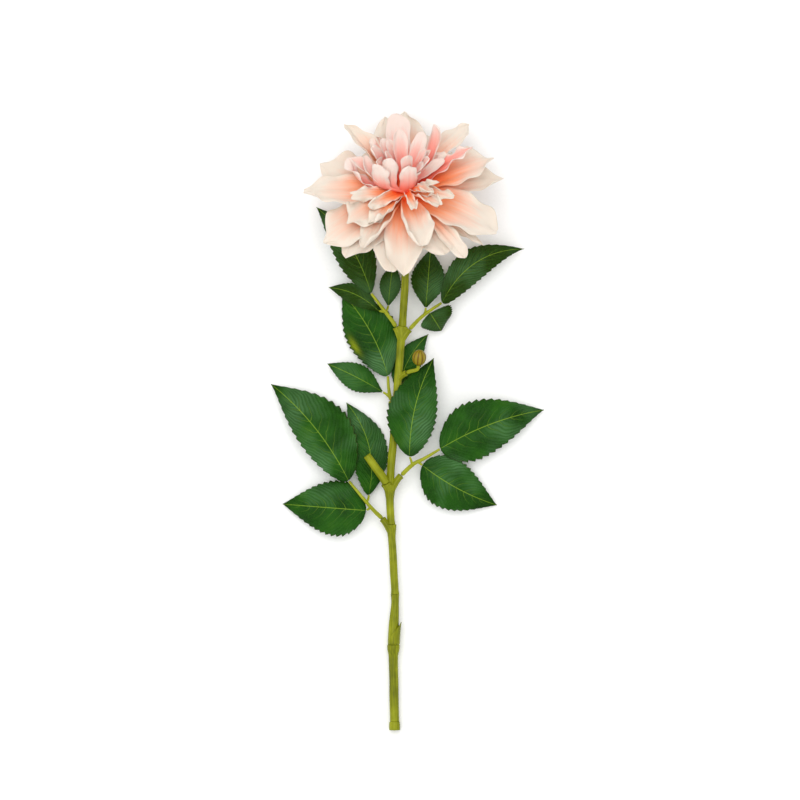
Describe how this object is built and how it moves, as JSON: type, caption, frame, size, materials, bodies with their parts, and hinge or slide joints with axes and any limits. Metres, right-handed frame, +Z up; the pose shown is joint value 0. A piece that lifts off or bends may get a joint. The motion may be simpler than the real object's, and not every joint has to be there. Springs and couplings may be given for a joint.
{
  "type": "artificial dahlia stem",
  "caption": "Layered dahlia bloom on a cut stem with sprays of toothed leaflets, a round bud and a side shoot, lying on its back.",
  "frame": {"origin": "middle of the object's footprint, on the surface that it lies on", "axes": "+Z up from the surface, +Y along the stem from the cut end towards the bloom, +X to the right seen from above"},
  "size_m": [0.2139, 0.4826, 0.091],
  "materials": {
    "stem": "moulded olive green plastic with long grooves",
    "stalk": "moulded yellow green plastic",
    "bud": "ribbed olive brown plastic",
    "leaf": "dark green coated cloth with pale veins",
    "calyx": "moulded green plastic",
    "petal_outer": "fine cloth, orange at the root and cream at the tip",
    "petal_inner": "fine cloth, coral at the root and pale pink at the tip"
  },
  "bodies": {
    "root": {"stem_foot": "stem", "stem_1": "stem", "stem_2": "stem", "stem_3": "stem", "stem_4": "stem", "stem_5": "stem", "stem_6": "stem", "side_shoot": "stem", "bud_stalk": "stalk", "bud": "bud", "stalk_low_left": "stalk", "stalk_low_right": "stalk", "stalk_middle": "stalk", "stalk_upper_left": "stalk", "stalk_upper_right": "stalk", "leaflet_low_left_tip": "leaf", "leaflet_low_left_side": "leaf", "leaflet_low_left_middle": "leaf", "leaflet_low_right_tip": "leaf", "leaflet_low_right_side": "leaf", "leaflet_low_right_top": "leaf", "leaflet_middle_big": "leaf", "leaflet_middle_small": "leaf", "leaflet_middle_right": "leaf", "leaflet_upper_left_tip": "leaf", "leaflet_upper_left_side": "leaf", "leaflet_upper_left_inner": "leaf", "leaflet_upper_right_inner": "leaf", "leaflet_upper_right_tip": "leaf", "leaflet_upper_right_small": "leaf", "calyx": "calyx", "petals_outer": "petal_outer", "petals_inner": "petal_inner"}
  },
  "joints": []
}
